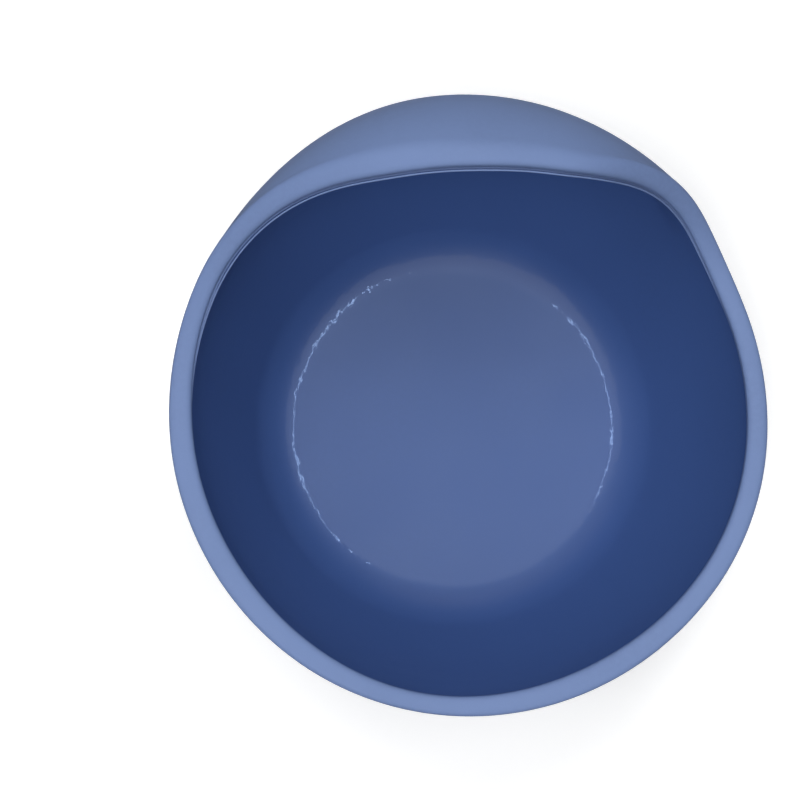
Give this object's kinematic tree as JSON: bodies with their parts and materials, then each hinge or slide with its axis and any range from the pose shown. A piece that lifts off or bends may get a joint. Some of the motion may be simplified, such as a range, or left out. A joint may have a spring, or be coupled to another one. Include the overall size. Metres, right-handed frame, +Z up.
{
  "type": "suction bowl",
  "caption": "Round silicone feeding bowl with a high back wall that curls inward, on a soft suction cup with a pull tab.",
  "frame": {"origin": "on the table under the middle of the suction cup, which is also the middle of the bowl's length and width", "axes": "+Z up, +Y towards the high scoop wall, +X to the right for someone facing the scoop wall"},
  "size_m": [0.1264, 0.1298, 0.073],
  "materials": {
    "bowl_silicone": "satin outside, polished inside",
    "cup_silicone": "satin"
  },
  "bodies": {
    "suction_base": {"sealing_lip": "cup_silicone", "suction_skirt": "cup_silicone"},
    "bowl": {"bowl_shell": "bowl_silicone", "suction_disc": "cup_silicone"},
    "tab": {"release_tab": "cup_silicone"}
  },
  "joints": [
    {"name": "press_down", "type": "slide", "parent": "suction_base", "child": "bowl", "axis": [0, 0, -1], "range_m": [0, 0.002], "stiffness_N_per_m": 1500, "springref_m": -0.002, "deforming": ["suction_skirt"]},
    {"name": "tab_lift", "type": "hinge", "parent": "suction_base", "child": "tab", "pos_m": [0, 0.046, 0.0013], "axis": [1, 0, 0], "range_deg": [0, 50], "stiffness_Nm_per_rad": 0.01}
  ]
}
